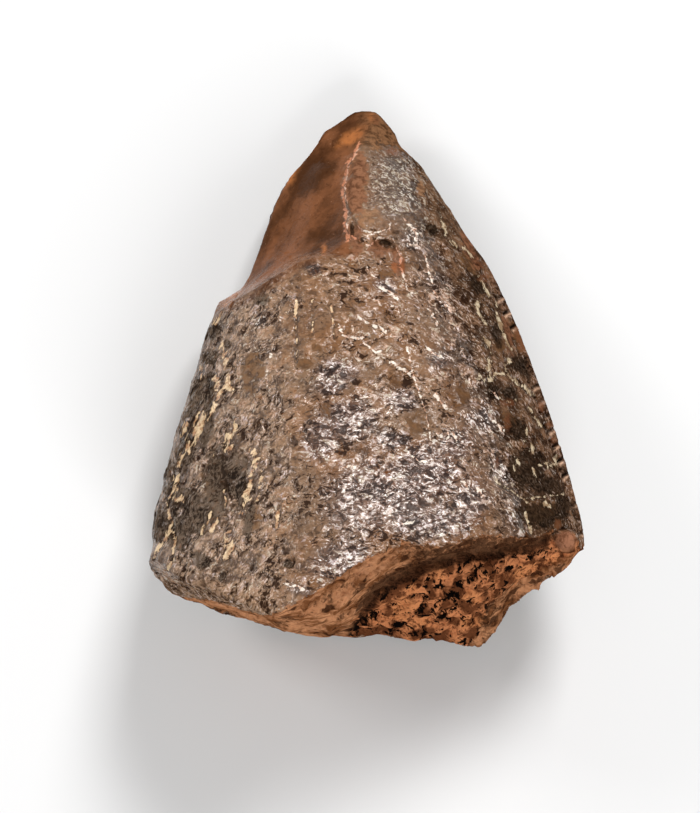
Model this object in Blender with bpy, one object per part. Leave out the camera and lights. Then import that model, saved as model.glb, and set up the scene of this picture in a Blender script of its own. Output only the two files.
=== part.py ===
"""Fossil tyrannosaur tooth: the tip of a crown, snapped off below, lying on its flatter side.

One solid in metres. +Y runs along the tooth to its tip, +X towards the saw-edged rear keel, and +Z up from
the surface that it lies on. The origin is the middle of its footprint, on that surface.
"""

import math

import bmesh
import bpy
from mathutils import Matrix, Vector, noise

MM = 0.001

# Driving dimensions.
LENGTH = 18.8 * MM  # from the tip to the lowest point of the break
FRONT_BULGE = 0.35  # height of the upper face over the keels, as a share of the crown's width
BACK_BULGE = 0.27  # depth of the lower face under the keels, as a share of the crown's width
BOW = 1.5 * MM  # how far the tip is bent up by the crown's lengthwise curve
BOW_MIDDLE = 11.0 * MM  # distance from the tip at which the curve is lowest
REST_CUT = 0.22 * MM  # how much the flat worn on the lower face takes off
SLIT_PITCH = 0.52 * MM  # one denticle and one slit of the saw edge, measured along the tooth
KEEL = 0.20 * MM  # how far the rear keel stands out of the crown

# The crown before it was damaged. Each pair is a distance from the tip and an X, in millimetres.
REAR_KEEL = (
    (0, 0.1), (0.4, 0.65), (0.9, 1.05), (1.3, 1.18), (2.1, 1.93), (3.0, 2.52), (4.7, 3.47), (6.4, 4.4),
    (8.0, 5.13), (9.7, 5.74), (11.4, 6.2), (13.1, 6.75), (14.0, 6.95), (14.6, 7.2), (15.6, 7.25), (20.5, 7.6),
)
LEADING_FACE = (
    (0, -0.1), (0.4, -0.8), (0.85, -1.45), (1.7, -2.2), (2.55, -2.9), (4.2, -4.0), (6.3, -4.85), (7.6, -5.15),
    (8.9, -5.55), (10.6, -6.05), (12.3, -6.45), (13.1, -6.68), (13.9, -6.8), (14.4, -7.05), (15.7, -7.12),
    (16.2, -7.28), (20.5, -7.6),
)
WIDTH = ((0, 0.2), (0.9, 2.4), (2.1, 4.1), (4.7, 7.4), (8.0, 10.4), (11.4, 12.6), (15.6, 14.3), (20.5, 15.3))
OVERRUN = 1.2 * MM  # the undamaged crown runs this far past the break
RINGS = 42
RING_POINTS = 56
GROWN = 7.0 * MM  # the keels and the swells fade out over this distance from the tip
SWELL = 0.09 * MM  # height of the gentle swells over the crown
SWELL_PITCH = 2.3 * MM
LEADING_KEEL = 0.12 * MM  # height of the worn leading keel, low on the left
LEADING_POINT = 32  # the ring's point, of RING_POINTS, that it follows

# The break across the foot of the crown. Each pair is an X and a Y, in millimetres: its upper edge, the foot
# of the bevel under that edge, and its lower edge.
BREAK_FRONT = (
    (-9, -5.4), (-7.3, -6.65), (-6.7, -7.3), (-5.95, -8.1), (-5.3, -8.2), (-4.7, -8.65), (-3.9, -9.05),
    (-3.3, -9.35), (-2.85, -9.4), (-2.0, -8.9), (-1.05, -8.35), (-0.5, -7.85), (0, -7.55), (1.25, -7.0), (2.4, -7.0),
    (2.95, -6.85), (3.5, -6.55), (5.3, -6.2), (6.0, -6.2), (6.9, -5.85), (9, -5.2),
)
BREAK_BEVEL = (
    (-9, -5.6), (-7.2, -6.75), (-5.3, -8.2), (-4.0, -8.8), (-3.0, -9.1), (-2.0, -9.25), (-1.0, -8.95),
    (0, -8.3), (1.25, -7.65), (2.4, -7.45), (3.5, -7.15), (5.3, -6.6), (6.9, -6.15), (9, -5.6),
)
BREAK_BACK = (
    (-9, -5.6), (-7.2, -6.75), (-6.3, -7.35), (-5.2, -7.7), (-3.6, -8.0), (-2.6, -8.4), (-1.2, -8.5),
    (0, -8.5), (2.0, -8.65), (3.3, -9.05), (4.1, -8.95), (4.7, -7.9), (5.9, -6.85), (6.8, -6.65), (7.4, -6.1), (9, -5.5),
)
BEVEL_DEPTH = 0.17  # where the bevel's foot is, as a share of the break's height
FURROW_DEPTH = 0.42 * MM  # the furrow under the bevel, at the right only
FURROW_AT = 0.23
FURROW_WIDTH = 0.055
FURROW_FROM = -0.8 * MM
BREAK_KEEL = 4.1 * MM  # the height of the keels at the break, and of the faces over and under them
BREAK_RISE = 5.2 * MM
BREAK_FALL = 4.0 * MM
BREAK_HALF = 8.2 * MM
BREAK_COLUMNS = 42
BREAK_ROWS = 40
BREAK_ROUGHNESS = 0.24 * MM

# The flake lost from the tip. Each row is a point of its ridge side and one of its outer side, both as X and Y,
# then the height of the step down from the enamel and the depth of the scoop, all in millimetres.
SPALL_ROWS = (
    (0.10, 10.2, -0.7, 10.2, -0.4, 0.00),
    (0.05, 9.2, -0.75, 9.3, -0.1, 0.00),
    (0.02, 8.5, -1.4, 8.6, 0.05, 0.05),
    (-0.30, 7.9, -2.0, 7.75, 0.12, 0.12),
    (-0.52, 7.0, -2.6, 7.05, 0.15, 0.18),
    (-0.48, 6.05, -3.05, 6.2, 0.15, 0.22),
    (-0.50, 5.15, -3.28, 5.5, 0.14, 0.24),
    (-0.62, 4.2, -3.52, 4.85, 0.10, 0.22),
    (-1.2, 3.7, -3.66, 4.35, 0.08, 0.18),
    (-2.2, 3.4, -3.82, 3.9, 0.10, 0.12),
    (-3.0, 2.95, -3.96, 3.5, 0.16, 0.06),
    (-3.8, 2.5, -4.22, 3.05, 0.20, 0.02),
    (-4.7, 2.1, -4.8, 2.65, 0.20, 0.00),
    (-5.7, 1.7, -5.8, 2.2, 0.20, 0.00),
)
SPALL_COLUMNS = 10

# The saw edge: how far from the tip it starts and ends, and its slits.
SAW = (5.6 * MM, 15.4 * MM)
SLIT_WIDTH = 0.13 * MM
SLIT_RADIUS = 0.42 * MM
SLIT_RISE = 0.38 * MM  # the slits' discs stand this far to each side of the keel's crest

# Flakes and pits in the enamel: X, Y, length, width and depth in millimetres, then the turn of the length
# anticlockwise from +X in degrees. Neighbours that overlap are an odd number of rows apart.
CHIPS = (
    (0.45, 4.0, 1.5, 0.7, 0.16, -8),
    (1.05, 3.3, 1.0, 0.5, 0.14, -30),
    (2.2, 4.55, 0.5, 0.45, 0.24, 0),
    (-0.3, 4.5, 0.4, 0.9, 0.12, 10),
    (0.9, 1.3, 1.0, 0.8, 0.12, 20),
    (1.1, -1.05, 1.0, 1.2, 0.12, 5),
    (2.75, -1.8, 0.9, 1.2, 0.11, -15),
    (1.6, -2.6, 1.2, 1.0, 0.13, -20),
    (4.5, -1.3, 0.8, 1.2, 0.12, 10),
)

# A rounded bead left at the right-hand corner of the break: its middle, and half its size each way.
BEAD = (Vector((6.42, -6.12, 5.15)) * MM, Vector((0.58, 0.46, 0.5)) * MM)

TIP_Y = LENGTH / 2
FAR = 14 * MM  # well outside the tooth, for the outer sides of the cutters


def smooth_through(points, at):
    """The value at a place along a smooth curve through (place, value) pairs."""
    places = [place for place, _ in points]
    last = len(points) - 2
    i = min(max(sum(place <= at for place in places) - 1, 0), last)
    (x0, y0), (x1, y1) = points[i], points[i + 1]
    before = points[max(i - 1, 0)]
    after = points[min(i + 2, last + 1)]
    slope0 = (y1 - before[1]) / (x1 - before[0])
    slope1 = (after[1] - y0) / (after[0] - x0)
    span = x1 - x0
    t = min(max((at - x0) / span, 0), 1)
    return (
        y0 * (1 + 2 * t) * (1 - t) ** 2
        + y1 * t * t * (3 - 2 * t)
        + slope0 * span * t * (1 - t) ** 2
        - slope1 * span * t * t * (1 - t)
    )


def from_tip(points, distance):
    """An outline's X at a distance from the tip, read along the distance's root so that the tip is round."""
    rooted = [(math.sqrt(place), value * MM) for place, value in points]
    return smooth_through(rooted, math.sqrt(max(distance, 0) / MM))


def section(distance):
    """The crown's section: its middle's X, half its width, and the heights of its keels, top and bottom.

    The heights follow a plainer width, so that bumps of the outline don't run round the crown.
    """
    right = from_tip(REAR_KEEL, distance) - KEEL * min(distance / GROWN, 1)
    left = from_tip(LEADING_FACE, distance)
    thick = from_tip(WIDTH, distance)
    lift = BOW * ((distance - BOW_MIDDLE) / BOW_MIDDLE) ** 2
    keel = BACK_BULGE * thick - REST_CUT + lift
    return (left + right) / 2, (right - left) / 2, keel, keel + FRONT_BULGE * thick, keel - BACK_BULGE * thick


def bulge(across):
    """The height of a section's curve at a share of its half width: round in front, keener at the rear keel."""
    sharpness = 0.5 + 0.07 * across
    return max(0.0, 1 - across * across) ** sharpness


def front_height(x, y):
    """The Z of the undamaged upper face."""
    middle, half, keel, top, _ = section(TIP_Y - y)
    return keel + (top - keel) * bulge(min(max((x - middle) / half, -1), 1))


def crown_ring(distance):
    """One ring of the crown, starting at the rear keel and going over the upper face."""
    middle, half, keel, top, bottom = section(distance)
    grown = min(distance / GROWN, 1)
    centre = Vector((middle, TIP_Y - distance, keel))
    ring = []
    for i in range(RING_POINTS):
        angle = 2 * math.pi * i / RING_POINTS
        across = math.cos(angle)
        rise = top - keel if math.sin(angle) > 0 else bottom - keel
        point = Vector((middle + half * across, centre.y, keel + rise * bulge(across)))
        out = (point - centre).normalized()
        point += out * SWELL * grown * noise.noise(point / SWELL_PITCH)
        if i == 0:
            point.x += KEEL * grown
        if i == LEADING_POINT:
            point += out * LEADING_KEEL * grown
        ring.append(point)
    return ring


def loft(name, rings, colour=None):
    """A closed solid through rings of the same number of points, capped at both ends."""
    shape = bmesh.new()
    loops = [[shape.verts.new(point) for point in ring] for ring in rings]
    for near, far in zip(loops, loops[1:]):
        for i in range(len(near)):
            j = (i + 1) % len(near)
            shape.faces.new((near[i], near[j], far[j], far[i]))
    for end in (loops[0], loops[-1]):
        shape.faces.new(end)
    return finished(name, shape, colour)


def finished(name, shape, colour=None):
    """Turns a bmesh into an object. One with no colour is a cutter, which no render shows."""
    bmesh.ops.recalc_face_normals(shape, faces=shape.faces)
    mesh = bpy.data.meshes.new(name)
    shape.to_mesh(mesh)
    shape.free()
    made = bpy.data.objects.new(name, mesh)
    bpy.context.scene.collection.objects.link(made)
    if colour is None:
        made.hide_render = True
        made.display_type = "WIRE"
    else:
        made.data.materials.append(colour)
    return made


def enamel():
    """Brown, mineral-stained fossil enamel with a low gloss."""
    material = bpy.data.materials.new("enamel")
    material.use_nodes = True
    shader = material.node_tree.nodes["Principled BSDF"]
    shader.inputs["Base Color"].default_value = (0.26, 0.17, 0.115, 1)
    shader.inputs["Roughness"].default_value = 0.38
    shader.inputs["Metallic"].default_value = 0.0
    return material


def crown():
    """The undamaged tip of the crown, run past the break."""
    span = LENGTH + OVERRUN
    crowding = 1.6  # above 1, so that the rings crowd together at the tip
    rings = [crown_ring(span * (i / RINGS) ** crowding) for i in range(1, RINGS + 1)]
    return loft("tooth", rings, enamel())


def break_point(x, depth):
    """A point of the broken surface at an X and a share of the way down from its upper edge."""
    round_off = math.sqrt(max(0.02, 1 - (x / BREAK_HALF) ** 2))
    top = BREAK_KEEL + BREAK_RISE * round_off
    bottom = BREAK_KEEL - BREAK_FALL * round_off
    front = smooth_through(BREAK_FRONT, x / MM) * MM
    bevel = smooth_through(BREAK_BEVEL, x / MM) * MM
    back = smooth_through(BREAK_BACK, x / MM) * MM
    if depth < BEVEL_DEPTH:
        share = min(max(depth / BEVEL_DEPTH, 0), 1)
        y = front + (bevel - front) * share ** 1.4
    else:
        y = bevel + (back - bevel) * min((depth - BEVEL_DEPTH) / (1 - BEVEL_DEPTH), 1)
    reach = min(max((x - FURROW_FROM) / (1.2 * MM), 0), 1)
    y += FURROW_DEPTH * reach * math.exp(-(((depth - FURROW_AT) / FURROW_WIDTH) ** 2))
    z = top + (bottom - top) * depth
    rough = min(max((depth - 0.1) / 0.2, 0.15), 1)
    place = Vector((x, z, 0)) / MM
    y += BREAK_ROUGHNESS * rough * (noise.noise(place * 0.9) + 0.7 * noise.noise(place * 2.0))
    return Vector((x, y, z))


def break_cutter():
    """Everything below the break: a block whose upper side is the broken surface."""
    shape = bmesh.new()
    rows = []
    for row in range(BREAK_ROWS + 1):
        depth = -0.5 + 2.1 * row / BREAK_ROWS
        places = [(2 * column / BREAK_COLUMNS - 1) * 8.4 * MM for column in range(BREAK_COLUMNS + 1)]
        rows.append([shape.verts.new(break_point(x, depth)) for x in places])
    for high, low in zip(rows, rows[1:]):
        for i in range(BREAK_COLUMNS):
            shape.faces.new((low[i], low[i + 1], high[i + 1], high[i]))
    walls = bmesh.ops.extrude_edge_only(shape, edges=[edge for edge in shape.edges if edge.is_boundary])
    for item in walls["geom"]:
        if isinstance(item, bmesh.types.BMVert):
            item.co.y = -FAR
    bmesh.ops.holes_fill(shape, edges=[edge for edge in shape.edges if edge.is_boundary])
    return finished("break_cutter", shape)


def spall_cutter():
    """The flake lost from the tip: two shallow scoops side by side, from a ridge to the outer side."""
    rings = []
    for ridge_x, ridge_y, outer_x, outer_y, step, scoop in SPALL_ROWS:
        ridge = Vector((ridge_x, ridge_y, 0)) * MM
        outer = Vector((outer_x, outer_y, 0)) * MM
        ridge.z = front_height(ridge.x, min(ridge.y, TIP_Y - 0.1 * MM)) - step * MM
        outer.z = section(max(TIP_Y - outer.y, 0.1 * MM))[2] + 0.15 * MM
        ring = [Vector((ridge.x, ridge.y, FAR))]
        for i in range(SPALL_COLUMNS + 1):
            across = i / SPALL_COLUMNS
            point = ridge.lerp(outer, across)
            point.z -= scoop * MM * (0.7 * math.sin(2 * math.pi * across) ** 2 - 0.3 * math.sin(math.pi * across))
            ring.append(point)
        ring.append(Vector((outer.x - 0.1 * MM, outer.y, -FAR)))
        ring.append(Vector((-FAR, outer.y, -FAR)))
        ring.append(Vector((-FAR, outer.y, FAR)))
        rings.append(ring)
    return loft("spall_cutter", rings)


def slit_cutter(name, side):
    """The slits between the denticles on one side of the rear keel: thin discs set square to its crest."""
    shape = bmesh.new()
    start, end = SAW
    for i in range(round((end - start) / SLIT_PITCH)):
        distance = start + i * SLIT_PITCH
        crest = crown_ring(distance)[0]
        along = (crown_ring(distance + SLIT_PITCH)[0] - crest).normalized()
        out = (crest - Vector((0, crest.y, section(distance)[2]))).normalized()
        out = (out - along * out.dot(along)).normalized()
        sideways = along.cross(out) * side
        turn = Matrix((out, sideways, along)).transposed().to_4x4()
        middle = crest + sideways * SLIT_RISE - out * 0.02 * MM
        bmesh.ops.create_cone(
            shape, cap_ends=True, segments=12, radius1=SLIT_RADIUS, radius2=SLIT_RADIUS, depth=SLIT_WIDTH,
            matrix=Matrix.Translation(middle) @ turn,
        )
    return finished(name, shape)


def face_turn(x, y):
    """The turn that lays a flat shape on the upper face."""
    step = 0.3 * MM
    along_x = Vector((2 * step, 0, front_height(x + step, y) - front_height(x - step, y)))
    along_y = Vector((0, 2 * step, front_height(x, y + step) - front_height(x, y - step)))
    return Vector((0, 0, 1)).rotation_difference(along_x.cross(along_y)).to_matrix().to_4x4()


def chip_cutter(name, chips):
    """Small flakes and pits lost from the enamel: lens-shaped scoops laid on the upper face."""
    shape = bmesh.new()
    for x, y, length, width, depth, turn in chips:
        x, y, depth = x * MM, y * MM, depth * MM
        lens = Matrix.Diagonal((length * MM / 1.7, width * MM / 1.7, 2 * depth, 1))
        lens = Matrix.Rotation(math.radians(turn), 4, "Z") @ lens
        middle = Vector((x, y, front_height(x, y)))
        place = Matrix.Translation(middle) @ face_turn(x, y) @ Matrix.Translation((0, 0, depth)) @ lens
        bmesh.ops.create_icosphere(shape, subdivisions=2, radius=1, matrix=place)
    return finished(name, shape)


def bead():
    """The bead at the corner of the break, to be joined on."""
    shape = bmesh.new()
    middle, half = BEAD
    place = Matrix.Translation(middle) @ Matrix.Diagonal((half.x, half.y, half.z, 1))
    bmesh.ops.create_icosphere(shape, subdivisions=2, radius=1, matrix=place)
    return finished("bead", shape)


def rest_cutter():
    """Everything under the surface, which leaves the flat that the tooth rests on."""
    shape = bmesh.new()
    block = Matrix.Translation((0, 0, -FAR)) @ Matrix.Diagonal((4 * FAR, 4 * FAR, 2 * FAR, 1))
    bmesh.ops.create_cube(shape, size=1, matrix=block)
    return finished("rest_cutter", shape)


def combine(body, other, operation="DIFFERENCE"):
    """Cuts the other shape out of the body, or joins it on, with a live Boolean."""
    modifier = body.modifiers.new(other.name, "BOOLEAN")
    modifier.operation = operation
    modifier.solver = "EXACT"
    modifier.object = other


def build():
    for old in list(bpy.data.objects):
        bpy.data.objects.remove(old)
    tooth = crown()
    combine(tooth, break_cutter())
    combine(tooth, bead(), "UNION")
    combine(tooth, spall_cutter())
    combine(tooth, chip_cutter("flake_cutter", CHIPS[::2]))
    combine(tooth, chip_cutter("chip_cutter", CHIPS[1::2]))
    combine(tooth, slit_cutter("slits_one_side", 1))
    combine(tooth, slit_cutter("slits_other_side", -1))
    combine(tooth, rest_cutter())


build()
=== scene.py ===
"""The tip of a fossil tyrannosaur tooth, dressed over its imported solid."""

import math

import bmesh
import bpy
import numpy as np
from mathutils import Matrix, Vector
from mathutils.bvhtree import BVHTree


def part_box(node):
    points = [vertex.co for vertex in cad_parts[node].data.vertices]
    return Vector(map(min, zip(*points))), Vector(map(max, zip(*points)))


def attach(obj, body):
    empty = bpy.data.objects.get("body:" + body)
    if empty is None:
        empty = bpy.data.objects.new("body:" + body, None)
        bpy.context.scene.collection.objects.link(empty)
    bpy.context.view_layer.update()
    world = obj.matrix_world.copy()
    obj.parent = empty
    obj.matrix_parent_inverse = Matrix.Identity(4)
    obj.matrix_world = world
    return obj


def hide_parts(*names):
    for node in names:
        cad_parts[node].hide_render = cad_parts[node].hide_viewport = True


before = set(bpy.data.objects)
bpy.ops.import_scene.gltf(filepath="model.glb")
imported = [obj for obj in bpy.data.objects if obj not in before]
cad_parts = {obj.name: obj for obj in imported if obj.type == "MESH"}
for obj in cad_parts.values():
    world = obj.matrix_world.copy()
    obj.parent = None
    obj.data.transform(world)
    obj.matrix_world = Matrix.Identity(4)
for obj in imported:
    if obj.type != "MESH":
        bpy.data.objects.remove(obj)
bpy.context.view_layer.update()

MM = 0.001


# The camera.
# It looks almost straight down on the lying tooth, from a little way towards its foot, through a long lens.
# The marks on the upper side are placed in its picture, 700 across and 813 down, with `in_picture`.

PICTURE = (700, 813)
CAMERA_AIM = Vector((-0.53, -1.15, 3.0)) * MM
CAMERA_TILT = math.radians(12)
CAMERA_DISTANCE = 300 * MM
PICTURE_HEIGHT = 27.1 * MM  # what the picture's height spans at the aim
SENSOR_HEIGHT = 24
NEAREST_SEEN, FARTHEST_SEEN = 10 * MM, 5

backwards = Vector((0, -math.sin(CAMERA_TILT), math.cos(CAMERA_TILT)))
picture_up = Vector((0, math.cos(CAMERA_TILT), math.sin(CAMERA_TILT)))
camera_place = CAMERA_AIM + backwards * CAMERA_DISTANCE

camera_data = bpy.data.cameras.new("camera")
camera_data.sensor_fit = "VERTICAL"
camera_data.sensor_height = SENSOR_HEIGHT
camera_data.lens = SENSOR_HEIGHT * CAMERA_DISTANCE / PICTURE_HEIGHT
camera_data.clip_start = NEAREST_SEEN
camera_data.clip_end = FARTHEST_SEEN
camera = bpy.data.objects.new("camera", camera_data)
camera.location = camera_place
camera.rotation_euler = (CAMERA_TILT, 0, 0)
bpy.context.scene.collection.objects.link(camera)
bpy.context.scene.camera = camera


def in_picture(places):
    """Where an array of places shows in the camera's picture: across and down."""
    seen = places - np.array(camera_place)
    depth = -seen @ np.array(backwards)
    scale = PICTURE[1] / PICTURE_HEIGHT * CAMERA_DISTANCE / depth
    across = PICTURE[0] / 2 + seen[:, 0] * scale
    down = PICTURE[1] / 2 - seen @ np.array(picture_up) * scale
    return np.stack((across, down), 1)


# The tooth's body.
# The tip of a crown: a thin skin of enamel over dentine, snapped off at its foot. It is one natural piece.
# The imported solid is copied, made into an even fine mesh and freed of its facets, apart from its saw edge.

VOXEL = 0.045 * MM
SAW_SIDE = 0.75 * MM  # how far in from the keel's crest the smoothing starts
GROUP_STEPS = 40  # the even steps that a vertex group's weights are kept in


def pick(piece):
    bpy.ops.object.select_all(action="DESELECT")
    piece.select_set(True)
    bpy.context.view_layer.objects.active = piece


def apply(piece, kind, **settings):
    """Adds a modifier with these settings and applies it."""
    pick(piece)
    modifier = piece.modifiers.new(kind.lower(), kind)
    for name, value in settings.items():
        setattr(modifier, name, value)
    bpy.ops.object.modifier_apply(modifier=modifier.name)


def corners(piece):
    """The piece's points and their normals, as arrays."""
    mesh = piece.data
    points = np.empty(len(mesh.vertices) * 3, np.float32)
    mesh.vertices.foreach_get("co", points)
    normals = np.empty(len(mesh.vertices) * 3, np.float32)
    mesh.vertex_normals.foreach_get("vector", normals)
    return points.reshape(-1, 3).astype(float), normals.reshape(-1, 3).astype(float)


def facing_camera(normals):
    """1 for what faces the camera, 0 for what is seen from its side, and less for what faces away."""
    return normals @ np.array(backwards)


def put(piece, points):
    piece.data.vertices.foreach_set("co", points.astype(np.float32).ravel())
    piece.data.update()


def ramp(value, start, end):
    """0 before start, 1 after end, and smooth between them."""
    share = np.clip((value - start) / (end - start), 0, 1)
    return share * share * (3 - 2 * share)


def weigh(piece, name, weights):
    """Gives the piece a vertex group with these weights, in even steps."""
    group = piece.vertex_groups.get(name) or piece.vertex_groups.new(name=name)
    steps = np.round(np.clip(weights, 0, 1) * GROUP_STEPS).astype(int)
    for step in range(GROUP_STEPS + 1):
        members = np.nonzero(steps == step)[0]
        if len(members):
            group.add(members.tolist(), step / GROUP_STEPS, "REPLACE")


def smooth(piece, iterations, group=""):
    apply(piece, "SMOOTH", factor=0.5, iterations=iterations, vertex_group=group)


tooth = bpy.data.objects.new("fossil_tooth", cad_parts["tooth"].data.copy())
bpy.context.scene.collection.objects.link(tooth)
pick(tooth)
bpy.ops.object.mode_set(mode="EDIT")
bpy.ops.mesh.select_all(action="SELECT")
bpy.ops.mesh.remove_doubles(threshold=0.001 * MM)
bpy.ops.object.mode_set(mode="OBJECT")
tooth.data.materials.clear()

# Which of the solid's faces are the break: they face the foot, and so do most of their neighbours.
BREAK_SLOPE = -0.2
BREAK_BELOW = -5.6 * MM
VOTE_ROUNDS = 3
VOTES_NEEDED = 3

plain = bmesh.new()
plain.from_mesh(tooth.data)
plain.faces.ensure_lookup_table()
broken_face = np.array([
    face.normal.y < BREAK_SLOPE and face.calc_center_median().y < BREAK_BELOW for face in plain.faces
], float)
for _ in range(VOTE_ROUNDS):
    votes = [
        sum(broken_face[near.index] for edge in face.edges for near in edge.link_faces)
        for face in plain.faces
    ]
    broken_face = (np.array(votes) > VOTES_NEEDED).astype(float)
solid_tree = BVHTree.FromBMesh(plain)
plain.free()


def nearest_broken(points):
    return np.array([broken_face[solid_tree.find_nearest(point)[2]] for point in points])


# Low on the left the enamel runs round the corner of the break and ends on this line in the picture.
ENAMEL_END = ((120, 602), (172, 594), (190, 598), (215, 601), (240, 609), (262, 615), (275, 616))
ENAMEL_CORNER = 272  # how far across the picture that corner reaches
NO_CORNER = -100


def past_enamel(spots):
    """How far below the enamel's end each point is, in picture points, or NO_CORNER away from that end."""
    below = spots[:, 1] - np.interp(spots[:, 0], *np.transpose(ENAMEL_END))
    return np.where(spots[:, 0] < ENAMEL_CORNER, below, NO_CORNER)


# The worn saw edge: a bar along the keel's crest closes the outer ends of the slits between the teeth, and
# fills them where the teeth are worn away. Its sizes are in millimetres, and the keel runs along Y.
SLIT_FIRST, SLIT_PITCH = 3.8, 0.52
SLIT_LEFT = (  # how much of each slit still shows, from the tip down
    0, 0, 0.6, 0.9, 1, 0, 0, 0, 0.6, 0.5, 0.4, 0.7, 1, 1, 0.9, 0.3, 0.4, 0.1, 0.6, 0.8,
)
SLIT_BEYOND = 0.5  # and of those past the last
CREST_ENDS, CREST_STEP = (-6.2, 6.0), 0.1
CREST_REACH = 0.35  # a crest point is the outermost one within this distance along the keel
CREST_EVEN = 11  # the points over which the crest is averaged
BAR_RADIUS, BAR_WORN = 0.19, 0.02
BAR_SUNK = 0.07
BAR_IN = 1.1  # how far in from the crest the bar's middle lies, in radii
BAR_FADES = (3.9, 5.0)  # where it thins out towards the tip
KEEL_DIES = (3.7, 4.6)  # where the keel dies out towards the tip

points, _ = corners(tooth)
steps = np.arange(*CREST_ENDS, CREST_STEP) * MM
crest = []
for step in steps:
    slab = points[np.abs(points[:, 1] - step) < CREST_REACH * MM]
    crest.append(slab[np.argmax(slab[:, 0])])
crest = np.array(crest)
crest[:, 1] = steps
for column in (0, 2):
    padded = np.pad(crest[:, column], CREST_EVEN // 2, mode="edge")
    crest[:, column] = np.convolve(padded, np.ones(CREST_EVEN) / CREST_EVEN, "valid")


def crest_distance(points):
    crest_x = np.interp(points[:, 1], crest[:, 1], crest[:, 0])
    crest_z = np.interp(points[:, 1], crest[:, 1], crest[:, 2])
    return np.hypot(points[:, 0] - crest_x, points[:, 2] - crest_z)


def slit_share(number):
    """How much of the slit with this number shows."""
    return np.interp(number, np.arange(len(SLIT_LEFT)), SLIT_LEFT, left=0, right=SLIT_BEYOND)


worn = 1 - slit_share((SLIT_FIRST - steps / MM) / SLIT_PITCH)
bar_radius = (BAR_RADIUS + BAR_WORN * worn) * (1 - 0.6 * ramp(steps / MM, *BAR_FADES))
bar_sunk = BAR_SUNK * (1 - worn)
curve = bpy.data.curves.new("keel_bar", "CURVE")
curve.dimensions = "3D"
curve.bevel_depth = 1 * MM
curve.bevel_resolution = 3
curve.use_fill_caps = True
spline = curve.splines.new("POLY")
spline.points.add(len(crest) - 1)
for point, place, radius, sunk in zip(spline.points, crest, bar_radius, bar_sunk):
    point.co = (place[0] - BAR_IN * radius * MM, place[1], place[2] - sunk * MM, 1)
    point.radius = radius
bar = bpy.data.objects.new("keel_bar", curve)
bpy.context.scene.collection.objects.link(bar)
pick(bar)
bpy.ops.object.convert(target="MESH")
pick(bar)
tooth.select_set(True)
bpy.context.view_layer.objects.active = tooth
bpy.ops.object.join()
apply(tooth, "REMESH", mode="VOXEL", voxel_size=VOXEL)

# The solid's facets are smoothed away, least at the break and along the saw edge.
points, normals = corners(tooth)
from_crest = crest_distance(points)
broken = nearest_broken(points)
resting = points[:, 2] < 0.02 * MM
faded = ramp(points[:, 1] / MM, *KEEL_DIES)
off_saw = ramp(from_crest, 0.4 * SAW_SIDE, 1.3 * SAW_SIDE)
at_corner = ramp(past_enamel(in_picture(points)), -36, -24) * (facing_camera(normals) > -0.2)
weigh(tooth, "even", (0.12 + 0.88 * np.maximum(faded, off_saw)) * (1 - 0.75 * broken) * ~resting)
weigh(tooth, "faded", faded * (from_crest < 2 * SAW_SIDE))
weigh(tooth, "corner", at_corner)
smooth(tooth, 30, "even")
smooth(tooth, 90, "faded")
smooth(tooth, 70, "corner")
smooth(tooth, 2)

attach(tooth, "root")
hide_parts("tooth")


# The surface's relief.
# Burial has left the enamel wrinkled, pitted and flaked, the break rough and open, and the scar smooth.
# Each kind of relief is a displacement by a noise of its own size, kept to its part of the surface.


def gradient_noise(places, seed):
    """Smooth noise from about -1 to 1 at an array of places, one unit from lump to lump."""
    cell = np.floor(places).astype(np.int64)
    inside = places - cell
    fade = inside * inside * inside * (inside * (inside * 6 - 15) + 10)
    total = 0
    for corner in range(8):
        step = np.array(((corner >> 2) & 1, (corner >> 1) & 1, corner & 1))
        at = cell + step
        mixed = (at[:, 0] * 73856093) ^ (at[:, 1] * 19349663) ^ (at[:, 2] * 83492791) ^ (seed * 2654435761)
        mixed = (mixed ^ (mixed >> 13)) * 1274126177
        mixed = (mixed ^ (mixed >> 16)) & 0xFFFFFF
        angle = (mixed & 0xFFF) / 4096 * 2 * math.pi
        rise = ((mixed >> 12) & 0xFFF) / 2048 - 1
        flat = np.sqrt(np.maximum(0, 1 - rise * rise))
        away = inside - step
        value = away[:, 0] * flat * np.cos(angle) + away[:, 1] * flat * np.sin(angle) + away[:, 2] * rise
        weight = np.prod(np.where(step == 1, fade, 1 - fade), axis=1)
        total = total + value * weight
    return total * 1.6


def layered(places, seed, layers=3, gain=0.5):
    total = 0
    for layer in range(layers):
        total = total + gradient_noise(places * 2.1 ** layer, seed + 17 * layer) * gain ** layer
    return total


def drawn_out(places, direction, times):
    """Places whose noise is drawn out along a direction."""
    direction = np.array(direction, float)
    direction /= np.linalg.norm(direction)
    return places - np.outer(places @ direction, direction) * (1 - 1 / times)


def line_distance(spots, line):
    """Each spot's distance from a bent line, and how far along the line it is.

    The distance is positive on the left of someone who walks the line as listed, and negative on the right.
    """
    best = np.full(len(spots), 1e9)
    side = np.ones(len(spots))
    along = np.zeros(len(spots))
    gone = 0.0
    for start, end in zip(line, line[1:]):
        start, end = np.array(start, float), np.array(end, float)
        span = np.linalg.norm(end - start)
        offset = spots - start
        share = np.clip((offset @ (end - start)) / span ** 2, 0, 1)
        distance = np.linalg.norm(offset - share[:, None] * (end - start), axis=1)
        cross = (end - start)[0] * offset[:, 1] - (end - start)[1] * offset[:, 0]
        nearer = distance < best
        best[nearer] = distance[nearer]
        side[nearer] = np.where(cross < 0, 1, -1)[nearer]
        along[nearer] = (gone + share * span)[nearer]
        gone += span
    return best * side, along


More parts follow.
